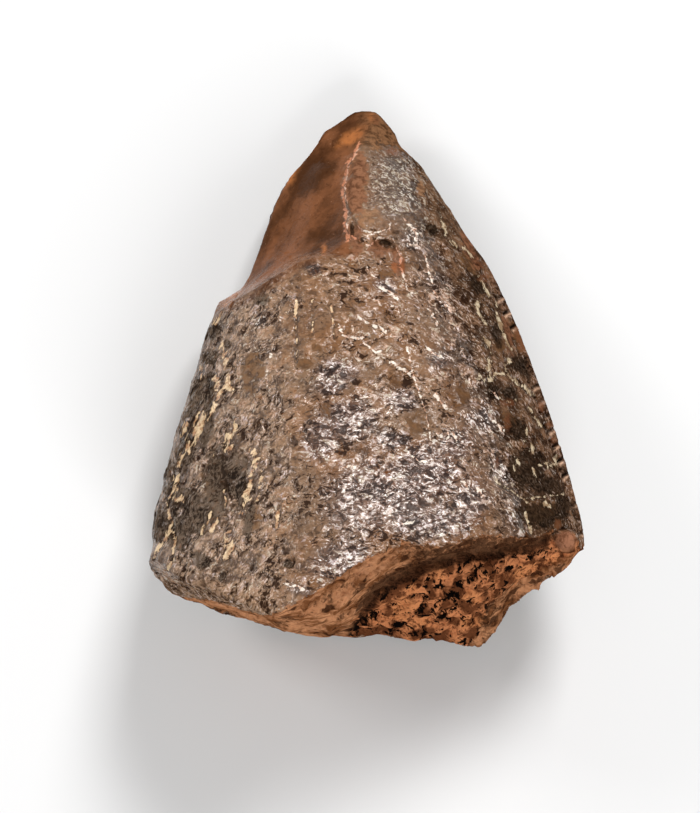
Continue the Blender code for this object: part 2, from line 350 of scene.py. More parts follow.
def inside_outline(spots, outline):
    """Whether each spot of the picture is inside a closed outline."""
    inside = np.zeros(len(spots), bool)
    for (x0, y0), (x1, y1) in zip(outline, outline[1:] + outline[:1]):
        crosses = (y0 > spots[:, 1]) != (y1 > spots[:, 1])
        inside ^= crosses & (spots[:, 0] < (x1 - x0) * (spots[:, 1] - y0) / (y1 - y0 + 1e-9) + x0)
    return inside


def blot(spots, across, down, half_across, half_down, turn, ragged, seed):
    """A soft-edged patch on the picture, 1 in its middle and 0 outside, with a ragged rim."""
    angle = math.radians(turn)
    offset = spots - np.array((across, down))
    x = (offset[:, 0] * math.cos(angle) + offset[:, 1] * math.sin(angle)) / half_across
    y = (offset[:, 1] * math.cos(angle) - offset[:, 0] * math.sin(angle)) / half_down
    edge = np.hypot(x, y)
    near = np.nonzero(edge < 2)[0]
    ragged_at = np.c_[spots[near] / 9, np.full(len(near), seed * 3.7)]
    edge[near] += ragged * layered(ragged_at, seed, 3)
    return 1 - ramp(edge, 0.4, 1.3)


# The flake scar at the tip. Its first line, walked down from the apex, is where the enamel broke away.
SCAR_EDGE = (
    (372, 100), (366, 128), (359, 143), (355, 149), (352, 158), (347, 165), (346, 176), (343, 187),
    (344, 199), (347, 211), (345, 226), (348, 241), (351, 253), (345, 257), (331, 257), (318, 258),
    (304, 263), (290, 272), (275, 284), (262, 291), (245, 300), (232, 306), (212, 319),
)
SCAR = SCAR_EDGE + ((180, 330), (180, 90), (372, 90))

# Ledges: the enamel's broken layers. High ground is on the left of someone who walks the line; then its
# height in hundredths of a millimetre and its reach in picture units.
LEDGES = (
    (((352, 214), (355, 222), (359, 228), (364, 231), (371, 232), (377, 232), (384, 231), (390, 229),
      (394, 236)), 9, 14),
    (((346, 230), (351, 236), (356, 239), (362, 242), (369, 245), (374, 243), (378, 238), (388, 238),
      (393, 242), (397, 250), (402, 258), (405, 268)), 8, 12),
    (((359, 262), (366, 267), (371, 273), (375, 279), (380, 287), (388, 291), (394, 296),
      (400, 300)), 4, 10),
    (((354, 308), (356, 313), (359, 318), (365, 321), (370, 324), (376, 327), (382, 330), (388, 333),
      (394, 337), (405, 343)), 5, 12),
    (((330, 338), (337, 333), (343, 336), (350, 338), (359, 338), (369, 335)), 4, 9),
    (((388, 360), (398, 367), (406, 371), (413, 377)), 4, 8),
    (((433, 302), (444, 306), (452, 314)), 4, 8),
    (((318, 396), (322, 408), (328, 418), (334, 430)), 6, 10),
    (((203, 366), (208, 380), (209, 400), (206, 412)), 6, 10),
    (((250, 455), (246, 470), (244, 488), (238, 505), (231, 518)), 9, 12),
    (((412, 250), (424, 252), (427, 262), (430, 272), (433, 284), (438, 298)), 4, 9),
    (((487, 420), (493, 440), (500, 455), (504, 470)), 4, 9),
)

# Cracks: the points of each, its half width, and its depth in hundredths of a millimetre.
CRACKS = (
    (((297, 298), (296, 312), (296, 328), (297, 339), (296, 352), (296, 368)), 1.0, 4),
    (((354, 307), (354, 321), (354, 337), (355, 348)), 1.0, 2),
    (((334, 305), (333, 319), (334, 339)), 1.0, 2),
    (((407, 347), (410, 357), (411, 366), (413, 375), (416, 384), (421, 398), (426, 413),
      (431, 440)), 1.0, 3),
    (((401, 250), (402, 257), (402, 265), (405, 280), (408, 290)), 1.2, 3),
    (((496, 305), (497, 315), (500, 324), (503, 333), (508, 343), (511, 350), (510, 358), (506, 366),
      (506, 373), (511, 378), (518, 384), (526, 389), (533, 396)), 1.3, 4),
    (((478, 311), (482, 316), (485, 323), (484, 338), (489, 345), (491, 354), (489, 365),
      (490, 380)), 1.2, 4),
    (((492, 472), (499, 484), (510, 490), (519, 496), (527, 502), (526, 515), (532, 534)), 1.3, 5),
    (((532, 498), (548, 495), (563, 494)), 1.2, 3),
    (((166, 500), (168, 512), (172, 522), (169, 531), (165, 540), (158, 550), (154, 558)), 1.4, 6),
    (((172, 524), (175, 542), (173, 549), (174, 559), (167, 571)), 1.2, 5),
    (((225, 480), (225, 496), (224, 511)), 0.9, 3),
    (((234, 402), (241, 397)), 1.6, 8),
)

# Pits and hollows: middle, half size and turn in the picture, and depth in hundredths of a millimetre.
PITS = (
    (432, 229, 8, 9, 0, 16), (394, 317, 9, 9, -10, 12), (398, 383, 10, 9, 0, 9), (461, 396, 15, 14, 0, 9),
    (419, 424, 14, 15, 0, 8), (305, 364, 10, 8, 0, 5), (316, 348, 7, 5, 30, 5), (325, 415, 9, 15, -15, 6),
    (223, 577, 8, 10, 20, 14), (288, 564, 8, 7, 0, 12), (385, 243, 9, 5, 10, 12), (352, 229, 4, 9, 0, 12),
    (510, 420, 11, 16, -15, 6), (215, 478, 16, 26, 0, 4), (454, 236, 3, 8, -25, 7), (208, 385, 6, 24, 8, 6),
    (236, 480, 5, 26, 5, 9), (340, 357, 5, 4, 0, 8), (245, 461, 3, 6, 0, 12), (372, 300, 6, 8, 0, 4),
    (441, 260, 8, 10, -20, 5), (470, 345, 6, 12, -10, 5), (380, 465, 8, 6, 0, 5), (430, 500, 9, 6, 20, 5),
    (300, 495, 8, 12, 0, 5), (262, 520, 6, 10, 0, 5),
)

# The furrow that parts the smooth dentine under the enamel's rim from the rough break.
FURROW = (
    (330, 690), (346, 648), (352, 632), (365, 611), (379, 595), (396, 583), (414, 575), (432, 568),
    (449, 562), (470, 558), (494, 556), (520, 551), (546, 545), (562, 541), (600, 528),
)
BREAK_DEPTH = (0, 0.35, 0.94)  # the break's lumps are drawn out into it


class Zones:
    """What each of a piece's points is part of, and where it shows in the picture."""

    def __init__(self, piece):
        self.points, self.normals = corners(piece)
        self.mm = self.points / MM
        self.spots = in_picture(self.points)
        self.across, self.down = self.spots[:, 0], self.spots[:, 1]
        self.facing = facing_camera(self.normals)
        coarse = np.c_[gradient_noise(self.mm * 4.3, 5), gradient_noise(self.mm * 4.3, 6)]
        fine = np.c_[gradient_noise(self.mm * 9, 7), gradient_noise(self.mm * 9, 8)]
        self.wander = coarse + 0.5 * fine
        self.furrow, self.along = line_distance(self.spots, FURROW)
        self.broken = self.find_broken()
        self.scar = self.find_scar()
        self.saw = crest_distance(self.points)

    def find_broken(self):
        """1 on the break, 0 on the enamel and the scar, with a wandering edge."""
        shift = np.c_[self.wander, self.wander[:, 0]] * ramp(self.facing, 0.1, 0.4)[:, None]
        past = past_enamel(self.spots) + 1.5 * self.wander[:, 0]
        corner = (past > -60) * (past < 0) * (self.facing > 0.05)
        return nearest_broken(self.points + 0.13 * MM * shift) * (1 - corner)

    def find_scar(self):
        """1 in the flake scar, 0 on the enamel, with an edge that is soft at the apex and at the foot."""
        seen = self.facing > -0.2
        whole = self.broken < 0.5
        edge, _ = line_distance(self.spots + 1.2 * self.wander, SCAR_EDGE)
        edge = np.abs(edge)
        inside = inside_outline(self.spots + 1.6 * self.wander, SCAR) & seen & whole
        soft = 1 + 5 * ramp(self.down, 160, 138) + 5 * ramp(self.down, 246, 258) * ramp(self.across, 345, 330)
        scar = np.where(inside, 0.5 + 0.5 * ramp(edge, 0, 2.4 * soft), 0.5 - 0.5 * ramp(edge, 0, 1.2 * soft))
        return scar * whole * seen

    def creases(self, bevel):
        """How far each point of the break is from the creases between its lumps and folds, up to about 1."""
        lumpy = drawn_out(self.mm + 0.15 * gradient_noise(self.mm * 3, 91)[:, None], BREAK_DEPTH, 1.6)
        lumps = np.abs(gradient_noise(lumpy * 1.5, 93)) + 0.6 * np.abs(gradient_noise(lumpy * 3.4, 94))
        folded = np.c_[self.along / 22, self.furrow / 7, np.zeros(len(self.mm))]
        folded = folded + 0.22 * self.wander.sum(1)[:, None]
        folds = 1.2 * np.abs(gradient_noise(folded, 81)) + 0.5 * np.abs(gradient_noise(folded * 2.2, 82))
        return lumps * (1 - bevel) + folds * bevel


SLIT_HALF, SLIT_UNEVEN = 0.05, 0.02  # half the width of a slit, and how much that differs between them
SLIT_STARTS = (0.02, 0.08)  # how far from the crest a slit starts
SLIT_ENDS, SLIT_ENDS_UNEVEN = (0.30, 0.44), (0.12, 0.16)
SAW_STARTS = (-6.2, -6.0)
LIP_BELOW, LIP_HALF = 0.12, 0.045


def slits(mm, distance):
    """How deep in a slit of the saw edge each point is, from 0 to 1, and how much it is the lip under one."""
    phase = (SLIT_FIRST - mm[:, 1] - 0.35 * distance - 0.4 * distance ** 2) / SLIT_PITCH
    number = np.round(phase)
    across = (phase - number) * SLIT_PITCH
    uneven = 0.5 + 0.5 * np.sin(number * 2.3 + 1) * np.sin(number * 5.1)
    lively = 1.2 * slit_share(number) * ramp(mm[:, 1], *SAW_STARTS) * (mm[:, 0] > 2)
    ends = [end + part * uneven for end, part in zip(SLIT_ENDS, SLIT_ENDS_UNEVEN)]
    reach = ramp(distance, *SLIT_STARTS) * (1 - ramp(distance, *ends))
    slit = lively * np.exp(-((across / (SLIT_HALF + SLIT_UNEVEN * uneven)) ** 2)) * reach
    return np.minimum(slit, 1), lively * np.exp(-(((across - LIP_BELOW) / LIP_HALF) ** 2)) * reach


BEAD_MIDDLE, BEAD_RADIUS = (566, 541), 10  # in the picture
BEAD_HEIGHT = 0.36


def bead_offset(spots):
    """How far from the bead's middle each point is in the picture, in the bead's radii."""
    return np.hypot(spots[:, 0] - BEAD_MIDDLE[0], spots[:, 1] - BEAD_MIDDLE[1]) / BEAD_RADIUS


# How high or deep each kind of relief is, in millimetres.
SWELLS, WRINKLES, RIDGES, SKIN_GRAIN, WORN_PITS, FRONT_RIBS = 0.03, 0.034, 0.020, 0.009, 0.10, 0.03
SCAR_DEPTH, SCAR_RIBS, SCAR_GRAIN = 0.09, 0.018, 0.004
BEVEL_FOLDS, BEVEL_SWELLS, BEVEL_DEPTH = 0.22, 0.03, 0.04
FURROW_DEPTH, BREAK_LUMPS, BREAK_GRAIN = 0.22, 0.36, 0.035
SLIT_DEPTH, LIP_HEIGHT, BEAD_GROOVE = 0.12, 0.02, 0.12


def relief(piece):
    """Where the piece's points go: in or out along their normals, by heights in millimetres."""
    zone = Zones(piece)
    mm, scar, broken, furrow = zone.mm, zone.scar, zone.broken, zone.furrow
    upper = ramp(zone.facing, 0.0, 0.25)
    skin = (1 - scar) * (1 - broken)
    worn_tip = 1 - ramp(9.3 - mm[:, 1], 1.0, 2.2)
    crisp = skin * (1 - 0.8 * worn_tip)

    # The enamel: low swells, wrinkles across the tooth and aslant at the saw edge, a fine grain, pits where
    # it has worn through, and ribs along the front.
    push = SWELLS * layered(mm * 0.9, 21, 2) * (0.3 + 0.7 * skin)
    bent = mm + 0.25 * gradient_noise(mm * 1.5, 25)[:, None]
    ripple = drawn_out(bent, (1, 0.35, 0), 1.8)
    saw_ripple = drawn_out(bent, (-0.62, 0.78, 0), 2.2)
    at_saw = ramp(mm[:, 0] + 0.3 * mm[:, 1], 1.2, 3.2)
    wrinkles = (1 - at_saw) * layered(ripple * 1.9, 31, 2) + at_saw * layered(saw_ripple * 2.1, 35, 2)
    push += crisp * WRINKLES * wrinkles
    push += crisp * RIDGES * (0.5 - np.abs(gradient_noise(ripple * 3.4, 41)) * 2)
    push += crisp * SKIN_GRAIN * gradient_noise(mm * 7.5, 43)
    push -= crisp * WORN_PITS * np.maximum(0, -gradient_noise(mm * 1.7, 51) - 0.42)
    front_band = ramp(zone.across, 262, 225) * ramp(zone.down, 310, 340) * upper
    push += crisp * front_band * FRONT_RIBS * gradient_noise(drawn_out(mm, (0.15, 1, 0), 4) * 3.0, 55)

    # The scar: a shallow scoop, faintly ribbed.
    push -= SCAR_DEPTH * scar
    push += scar * SCAR_RIBS * layered(drawn_out(mm, (0.4, 1, 0.3), 1.6) * 1.1, 71, 2)
    push += scar * SCAR_GRAIN * gradient_noise(mm * 6, 73)

    # Ledges, cracks and pits.
    for line, height, reach in LEDGES:
        distance, _ = line_distance(zone.spots + 0.8 * zone.wander, line)
        push += upper * skin * height / 140 * np.tanh(distance / 1.2) * np.exp(-np.abs(distance) / reach)
    for line, half, depth in CRACKS:
        distance, _ = line_distance(zone.spots + 1.0 * zone.wander, line)
        push -= upper * depth / 100 * np.exp(-((distance / half / 1.3) ** 2))
    for number, (*placed, depth) in enumerate(PITS):
        pit = blot(zone.spots + 1.5 * zone.wander, *placed, 0.45, 700 + number)
        push -= upper * (1 - broken) * depth / 100 * pit

    # The break: folds on its bevel, the furrow under that, and open lumps below.
    bevel = broken * ramp(furrow, 2, 8)
    rough = broken * (1 - ramp(furrow, -2, 6))
    height = zone.creases(bevel) - 0.45
    seen = ramp(zone.facing, 0.1, 0.35)
    folds = (0.15 + 0.85 * seen) * BEVEL_FOLDS * height
    push += bevel * (folds + BEVEL_SWELLS * gradient_noise(mm * 2.2, 83) - BEVEL_DEPTH)
    push -= broken * FURROW_DEPTH * np.exp(-((furrow / 7) ** 2)) * ramp(zone.across, 340, 375)
    lumps = BREAK_LUMPS * height + BREAK_GRAIN * gradient_noise(mm * 7, 95)
    push += rough * (0.04 + 0.96 * seen) * lumps
    weigh(piece, "outline", broken * (1 - ramp(zone.facing, 0.2, 0.5)))

    # Nothing is added where it rests, and little on the keel's crest, apart from the slits and their lips.
    push *= ramp(mm[:, 2], 0.0, 0.25)
    push *= 0.25 + 0.75 * ramp(zone.saw, 0.15 * MM, 0.6 * MM)
    slit, lip = slits(mm, zone.saw / MM)
    push += LIP_HEIGHT * lip - SLIT_DEPTH * slit

    # The bead, and the groove round it.
    bead = bead_offset(zone.spots)
    near_bead = upper * (1 - ramp(bead, 0.95, 1.25))
    dome = BEAD_HEIGHT * np.sqrt(np.maximum(0, 1 - np.minimum(bead, 1) ** 2))
    push = push * (1 - near_bead) + near_bead * dome
    push -= upper * BEAD_GROOVE * np.exp(-(((bead - 1.25) / 0.16) ** 2))
    return zone.points + zone.normals * push[:, None] * MM


put(tooth, relief(tooth))

# The bead at the corner is worn round, and so is the break's outline.
weigh(tooth, "bead", 1 - ramp(bead_offset(in_picture(corners(tooth)[0])), 0.9, 1.1))
smooth(tooth, 25, "bead")
smooth(tooth, 30, "outline")


# The finished mesh: thinned, more so on the side that it rests on, and held to the solid's box.

UPPER_TRIANGLES, UNDER_TRIANGLES = 148000, 44000
UPPER_FACING = -0.12


def thin(piece, most, chosen):
    """Thins the chosen part of a piece to about this many triangles."""
    pick(piece)
    bpy.ops.object.mode_set(mode="EDIT")
    bpy.ops.mesh.select_all(action="DESELECT")
    bpy.ops.object.mode_set(mode="OBJECT")
    piece.data.vertices.foreach_set("select", chosen)
    bpy.ops.object.mode_set(mode="EDIT")
    bpy.ops.mesh.select_mode(type="VERT")
    bpy.ops.mesh.select_mode(type="FACE")
    bpy.ops.object.mode_set(mode="OBJECT")
    faces = np.zeros(len(piece.data.polygons), bool)
    piece.data.polygons.foreach_get("select", faces)
    bpy.ops.object.mode_set(mode="EDIT")
    bpy.ops.mesh.decimate(ratio=most / faces.sum())
    bpy.ops.object.mode_set(mode="OBJECT")


apply(tooth, "TRIANGULATE")
for most, upper_part in ((UNDER_TRIANGLES, False), (UPPER_TRIANGLES, True)):
    points, normals = corners(tooth)
    thin(tooth, most, (facing_camera(normals) > UPPER_FACING) == upper_part)

points, normals = corners(tooth)
low, high = (np.array(corner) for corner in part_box("tooth"))
put(tooth, np.clip(points, low, high))
pick(tooth)
bpy.ops.object.shade_smooth()


# The marks that the materials read, kept as colours on the mesh. They say what each point is part of, how
# far it lies in a hollow, which minerals have stained or filled it, and where shade, sheen and lit edges
# are painted.

# Patches: middle, half size and turn in the picture.
BLACK = (
    (211, 357, 11, 9, 0), (209, 388, 7, 28, 8), (228, 344, 4, 6, 0), (198, 392, 9, 24, 12),
    (224, 474, 26, 32, 8), (203, 512, 34, 22, -25), (190, 500, 16, 14, 0), (160, 527, 10, 22, 0),
    (180, 530, 16, 22, 0), (241, 490, 6, 26, 4), (245, 461, 3, 6, 0), (262, 300, 8, 8, 30),
    (204, 330, 6, 14, 10), (497, 334, 7, 14, -12), (432, 229, 7, 8, 0), (520, 366, 12, 12, 0),
    (529, 372, 6, 8, 0), (517, 428, 12, 16, -20), (528, 470, 24, 26, 0), (545, 485, 20, 10, 0),
    (540, 515, 28, 16, 0), (223, 577, 6, 8, 20), (288, 564, 7, 6, 0), (385, 243, 8, 4, 10),
    (352, 229, 3, 8, 0), (166, 470, 5, 20, 8), (180, 400, 5, 12, 10), (562, 505, 8, 20, -8),
    (478, 285, 8, 12, -25), (492, 390, 8, 10, 0), (510, 395, 9, 12, -20), (188, 440, 12, 46, 10),
    (206, 430, 8, 30, 8), (173, 490, 9, 34, 8), (214, 330, 8, 14, 20), (200, 560, 14, 10, 20),
    (249, 520, 6, 24, 6), (518, 557, 8, 6, 0), (509, 568, 6, 5, 0), (480, 573, 9, 10, 0),
    (484, 584, 10, 7, 0), (470, 580, 6, 6, 0), (451, 562, 8, 6, 0), (457, 580, 6, 5, 0),
    (444, 604, 15, 6, -10), (454, 595, 6, 5, 0), (431, 597, 8, 7, 0), (446, 617, 10, 5, -15),
    (463, 617, 5, 5, 0), (422, 607, 10, 5, -35), (400, 625, 13, 5, -40), (424, 633, 10, 4, 0),
    (367, 607, 10, 5, -45), (357, 626, 14, 8, -20), (344, 634, 12, 5, 0), (430, 580, 6, 4, 0),
    (438, 589, 6, 5, 0), (389, 589, 8, 5, -30), (381, 596, 6, 5, -30), (540, 549, 10, 5, -15),
    (497, 556, 10, 4, 0),
)
# White patches: pale crust and speckle, and painted sheen where the highlight makes a bright field.
WHITE_AND_SHEEN = (
    (337, 372, 24, 14, 0), (400, 400, 20, 14, 0), (350, 420, 34, 26, 0), (330, 385, 20, 10, 0),
    (400, 490, 60, 40, 10), (360, 500, 40, 40, 0), (430, 470, 40, 34, 0), (455, 520, 26, 18, 0),
    (395, 190, 26, 38, 10), (480, 420, 18, 16, -20), (455, 445, 20, 18, 0), (340, 560, 34, 22, -20),
    (300, 590, 16, 6, 20), (470, 500, 22, 24, 0), (260, 322, 7, 7, 0), (412, 240, 12, 12, 0),
    (515, 520, 8, 20, -15), (500, 470, 8, 16, -30), (390, 440, 22, 12, 0), (440, 360, 14, 12, 0),
    (320, 440, 22, 26, 0), (312, 268, 10, 8, 0), (385, 285, 12, 10, 30), (425, 520, 50, 22, 0),
)
SMOOTH = (
    (375, 128, 26, 24, 0), (357, 182, 12, 40, 3), (370, 217, 15, 11, 0), (398, 383, 8, 8, 0),
    (461, 396, 14, 13, 0), (419, 424, 12, 13, 0), (508, 419, 8, 14, -10), (216, 480, 16, 26, 0),
    (305, 364, 9, 7, 0), (316, 348, 7, 4, 40), (252, 372, 13, 28, 8), (325, 412, 7, 12, -15),
    (516, 334, 6, 20, -14), (385, 272, 10, 10, 0), (395, 252, 5, 5, 0), (540, 512, 20, 14, 0),
    (255, 520, 9, 14, 15), (420, 188, 5, 9, -20), (403, 140, 8, 12, -20), (470, 262, 8, 22, -22),
    (558, 523, 5, 9, 0), (500, 345, 6, 10, 0),
)
ORANGE = (
    (352, 137, 18, 7, -32), (374, 119, 8, 6, 40), (394, 266, 5, 6, 0), (402, 262, 3, 12, -10),
    (393, 152, 9, 4, 20), (237, 280, 9, 26, 25), (252, 225, 8, 30, 22), (324, 249, 3, 6, 0),
    (480, 264, 6, 5, -20), (483, 278, 6, 5, -20), (508, 402, 10, 5, 10), (508, 424, 5, 10, 0),
    (351, 258, 3, 6, 0), (519, 340, 4, 16, -16), (541, 407, 4, 8, -20), (548, 425, 4, 6, -20),
    (554, 442, 4, 7, -20), (558, 524, 4, 9, 0), (497, 466, 4, 8, 0), (290, 170, 8, 18, 30),
    (402, 608, 20, 12, -40), (528, 571, 22, 9, -22), (480, 622, 26, 8, 0), (437, 573, 12, 8, 0),
    (413, 588, 10, 6, -30), (470, 597, 12, 8, 0), (552, 560, 10, 6, -20), (420, 622, 12, 6, -20),
)

# Mineral that fills cracks and crusts the skin: half width, then the points of its line.
CREAM = (
    (2.4, (222, 343), (224, 352), (225, 360), (225, 368), (227, 377), (227, 385), (230, 389)),
    (3.6, (217, 379), (218, 390), (217, 396)), (3.0, (214, 403), (213, 413)), (2.2, (201, 368), (201, 377)),
    (5.0, (203, 416), (198, 428), (196, 440)), (3.4, (187, 424), (184, 436)), (3.0, (190, 444), (188, 452)),
    (3.0, (236, 421), (235, 429)), (4.6, (232, 436), (228, 446), (222, 452)), (2.6, (182, 456), (179, 466)),
    (3.2, (177, 476), (175, 486), (173, 494)), (3.2, (172, 498), (180, 499)),
    (1.6, (167, 504), (169, 515), (172, 522)),
    (1.8, (172, 522), (169, 531), (165, 540), (158, 550), (155, 558)),
    (1.5, (173, 531), (175, 542), (173, 549), (174, 559), (168, 570)),
    (3.2, (254, 451), (256, 459), (252, 469), (251, 477), (250, 488), (247, 499)),
    (2.2, (247, 499), (244, 506), (242, 514)), (3.4, (230, 533), (229, 545), (227, 552), (228, 561)),
    (1.6, (212, 511), (206, 523), (201, 534)), (2.4, (217, 520), (211, 531)),
    (1.8, (225, 483), (225, 496), (224, 508)), (1.8, (438, 213), (442, 222), (447, 235)),
    (1.6, (450, 241), (456, 246)), (1.3, (463, 247), (468, 252), (473, 258)), (2.8, (478, 302), (476, 309)),
    (1.8, (496, 303), (497, 315), (500, 324), (503, 333)), (1.6, (503, 333), (508, 343), (511, 350)),
    (2.4, (510, 358), (506, 366), (506, 373)), (1.6, (494, 374), (506, 373)),
    (1.8, (506, 373), (511, 378), (518, 384), (524, 387), (532, 395)),
    (1.7, (478, 311), (482, 316), (485, 323)), (1.6, (484, 338), (489, 345), (491, 354)),
    (2.0, (489, 358), (489, 370), (491, 380)), (1.6, (500, 398), (510, 402), (519, 399)),
    (2.0, (529, 408), (536, 418), (541, 427)), (1.6, (526, 429), (526, 440)), (2.6, (531, 446), (531, 452)),
    (3.0, (533, 469), (536, 474)), (2.6, (554, 458), (556, 464), (551, 465)), (1.2, (538, 466), (548, 462)),
    (2.2, (517, 460), (515, 470)), (1.3, (532, 498), (548, 496), (563, 494)), (1.8, (545, 503), (549, 507)),
    (1.6, (492, 473), (499, 484), (510, 490), (519, 496), (527, 502)),
    (1.6, (525, 512), (527, 521), (532, 533)), (3.6, (220, 314), (216, 322)),
    (1.3, (296, 298), (296, 312), (296, 322)), (1.0, (296, 322), (297, 338), (296, 362)),
    (0.8, (313, 300), (313, 314), (312, 339)), (0.8, (331, 305), (333, 319), (334, 339)),
    (0.8, (286, 312), (296, 318), (308, 316)), (1.4, (187, 380), (184, 396)),
    (1.6, (478, 276), (484, 285), (490, 296)), (1.4, (196, 352), (193, 362)), (2.6, (478, 372), (483, 380)),
    (2.0, (255, 560), (250, 575)), (1.6, (262, 470), (258, 500)), (1.4, (280, 500), (276, 530)),
)
# Pale broken edges, half width then points: the broken enamel's own pale colour, and painted highlight where
# the ledges' walls catch the light.
PALE_AND_LIT = (
    (2.4, (353, 158), (347, 165), (346, 176), (343, 187), (344, 199), (347, 211), (345, 226), (348, 241)),
    (2.0, (359, 143), (353, 158)),
    (1.1, (355, 222), (359, 228), (364, 231), (371, 232), (377, 232), (384, 231), (390, 229)),
    (1.0, (390, 219), (390, 236)), (1.2, (351, 236), (356, 239), (362, 242), (369, 245), (374, 243)),
    (1.0, (374, 243), (378, 238), (388, 238), (393, 242), (397, 250), (402, 258)),
    (2.0, (404, 219), (410, 226), (413, 231)), (1.6, (416, 226), (416, 244)), (1.6, (409, 244), (419, 247)),
    (1.4, (366, 267), (371, 273), (375, 279)), (2.0, (380, 288), (388, 291), (394, 296), (397, 299)),
    (1.8, (371, 298), (377, 301), (382, 305)), (1.8, (384, 305), (392, 306)),
    (1.2, (356, 312), (359, 318), (365, 321), (370, 324)), (1.9, (374, 326), (381, 329), (387, 333)),
    (1.5, (387, 333), (393, 336), (404, 342)), (1.7, (343, 335), (350, 338), (359, 338), (369, 335)),
    (2.2, (338, 326), (343, 333)), (1.2, (407, 347), (410, 357), (411, 366), (413, 375)),
    (1.0, (413, 375), (416, 384), (421, 398), (426, 413), (431, 440)),
    (1.7, (391, 362), (398, 367), (406, 371), (413, 377)),
    (1.5, (402, 257), (400, 265), (403, 274), (406, 281), (408, 289)),
    (1.4, (425, 255), (428, 268), (432, 283)), (1.9, (434, 290), (438, 298)), (2.0, (445, 305), (451, 311)),
    (1.4, (427, 307), (432, 313), (436, 320), (438, 326)), (2.0, (427, 348), (432, 353), (440, 356)),
    (2.4, (435, 394), (440, 400), (445, 408)), (1.4, (271, 350), (270, 357)), (1.2, (267, 370), (267, 390)),
    (2.6, (479, 489), (483, 497)), (2.0, (463, 482), (468, 488)), (1.8, (493, 420), (503, 431)),
    (1.7, (492, 391), (498, 398)), (1.6, (284, 583), (294, 585), (303, 590)), (1.3, (281, 316), (280, 324)),
    (1.8, (452, 430), (456, 441)), (1.8, (436, 431), (441, 437)), (1.6, (448, 432), (447, 444)),
    (1.2, (363, 342), (376, 352), (386, 351)), (1.3, (356, 400), (364, 396), (372, 398)),
    (1.4, (410, 455), (420, 461), (430, 462)), (1.4, (338, 470), (350, 466), (360, 470)),
    (1.3, (390, 520), (402, 524), (414, 522)),
)


# The bare strip beside the scar, and the other places where the enamel is thin and reddish brown.
REDDISH = (
    (357, 182, 13, 44, 3), (356, 240, 8, 18, 0), (350, 236, 6, 14, 0), (379, 250, 12, 12, 0),
    (398, 262, 8, 16, -10), (470, 250, 8, 24, -25), (508, 335, 5, 22, -14),
)


def keep_marks(piece, name, *values):
    layer = piece.data.attributes.new(name, "FLOAT_COLOR", "POINT")
    layer.data.foreach_set("color", np.stack(values, 1).astype(np.float32).ravel())


STROKE_SHARPNESS = 1.3  # a listed line's mark fades over its half width times this


def patches(spots, listed, seed, ragged=0.3):
    total = np.zeros(len(spots))
    for number, placed in enumerate(listed):
        total = np.maximum(total, blot(spots, *placed, ragged, seed + number))
    return total


def strokes(spots, wander, listed):
    """1 on the middle of each listed line, 0 at its half width and less beyond."""
    total = np.full(len(spots), -1.0)
    for half, *line in listed:
        distance, _ = line_distance(spots + min(2.2, 0.2 + 0.6 * half) * wander, line)
        total = np.maximum(total, 1 - np.abs(distance) / half / STROKE_SHARPNESS)
    return total


zone = Zones(tooth)
mm, spots, broken, furrow = zone.mm, zone.spots, zone.broken, zone.furrow
upper = ramp(zone.facing, -0.15, 0.1)
away = 1 - upper

# The break's smooth part: the bevel over its furrow, its left end, and a worn band at the lower right.
WORN_BAND = (
    (452, 660), (478, 636), (484, 615), (497, 598), (520, 580), (545, 566), (573, 556), (600, 560),
    (540, 600), (515, 660),
)
bevel = broken * np.maximum(ramp(furrow, 0, 7), ramp(zone.across, 350, 335))
bevel = np.maximum(bevel, broken * inside_outline(spots + 3 * zone.wander, WORN_BAND))
bevel = np.where(upper > 0.5, bevel, broken * ramp(layered(mm * 0.8, 92, 2), 0.1, 0.5))

# Minerals and wear, with painted sheen among the white patches and painted highlight on the pale edges:
# listed ones on the upper side, scattered ones elsewhere.
other_black = ramp(layered(mm * 0.35, 101, 3), 0.05, 0.5)
other_white = ramp(layered(mm * 0.3, 102, 3), -0.2, 0.5)
other_smooth = ramp(layered(mm * 0.5, 103, 3), 0.35, 0.6)
other_cream = 1.1 - 9 * np.abs(layered(drawn_out(mm, (0.1, 1, 0), 2) * 0.7, 104, 3))
other_cream = other_cream - 2 * ramp(layered(mm * 0.4, 105, 2), -0.1, 0.3)
black = upper * patches(spots, BLACK, 200) + away * 0.9 * other_black
white = upper * patches(spots, WHITE_AND_SHEEN, 300, 0.25) + away * 0.7 * other_white
smooth_skin = upper * patches(spots, SMOOTH, 500) + away * 0.8 * other_smooth
orange = upper * patches(spots, ORANGE, 600)
reddish = upper * patches(spots, REDDISH, 800)
cream = np.where(upper > 0.5, strokes(spots, zone.wander, CREAM), np.clip(other_cream, -1, 1))
pale = np.where(upper > 0.5, strokes(spots, zone.wander, PALE_AND_LIT), -1)

# Dull and shade: painted shade in the furrow under the enamel's rim and on its wall, weaker in the worn
# band, and where the enamel turns down only a duller gloss.
in_furrow = ramp(np.exp(-(((furrow - 4) / 11) ** 2)), 0.1, 1) * ramp(zone.across, 345, 370)
on_wall = 0.72 * ramp(furrow, -2, 4) * ramp(zone.across, 370, 430)
in_band = 0.5 * upper * broken * ramp(zone.across, 470, 484) * ramp(zone.down, 582, 596)
turning = upper * (1 - broken) * ramp(past_enamel(spots) + 2 * zone.wander[:, 1], -28, -12)
dull_and_shade = np.maximum(in_furrow, on_wall) * broken * upper * (1 - ramp(zone.across, 545, 556))
dull_and_shade = np.maximum(np.maximum(dull_and_shade, in_band), turning)

keel = (1 - ramp(zone.saw, 0.15 * MM, 0.42 * MM)) * (1 - ramp(mm[:, 1], 3.6, 4.4))
slit, lip = slits(mm, zone.saw / MM)
bead = upper * (1 - ramp(bead_offset(spots), 0.9, 1.2))
bevel = np.maximum(bevel, bead)
broken = np.maximum(broken, bead)
